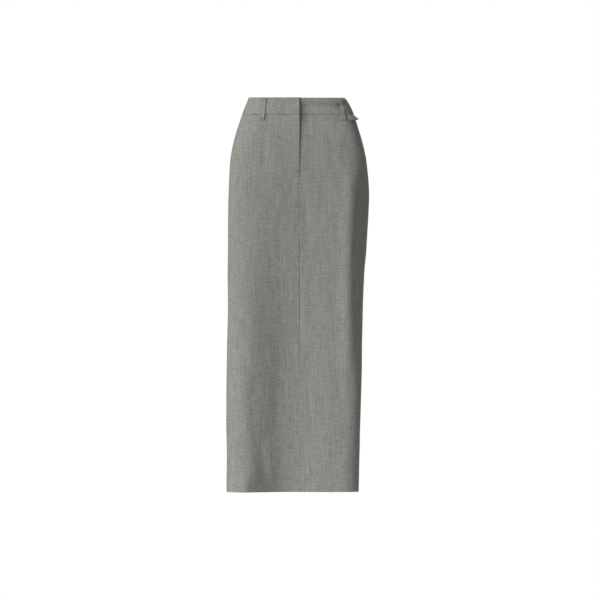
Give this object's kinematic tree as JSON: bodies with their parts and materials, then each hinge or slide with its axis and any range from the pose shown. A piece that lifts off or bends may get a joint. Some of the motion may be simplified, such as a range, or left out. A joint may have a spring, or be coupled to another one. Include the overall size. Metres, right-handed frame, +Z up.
{
  "type": "pencil skirt",
  "caption": "Long straight wool pencil skirt with a fly front, belt loops and a back vent, in its worn hollow form.",
  "frame": {"origin": "centre of the waist opening, halfway up the waistband, where the wearer's waist holds the skirt", "axes": "+Z up along the skirt from hem to waist, front facing -Y, wearer's left +X"},
  "size_m": [0.3561, 0.2418, 0.9853],
  "materials": {
    "suiting": "matte melange wool suiting, plain weave with fine slubs",
    "zip_tape": "woven polyester tape",
    "hook_metal": "satin nickel plate"
  },
  "bodies": {
    "root": {"front_right": "suiting", "front_left": "suiting", "back_right": "suiting", "back_left": "suiting", "waistband_right": "suiting", "waistband_left": "suiting", "fly_shield": "suiting", "fly_zip": "zip_tape", "waist_hook": "hook_metal", "belt_loop_front_right": "suiting", "belt_loop_front_left": "suiting", "belt_loop_back_right": "suiting", "belt_loop_back_left": "suiting", "belt_loop_centre_back": "suiting", "side_tab": "suiting"}
  },
  "joints": []
}
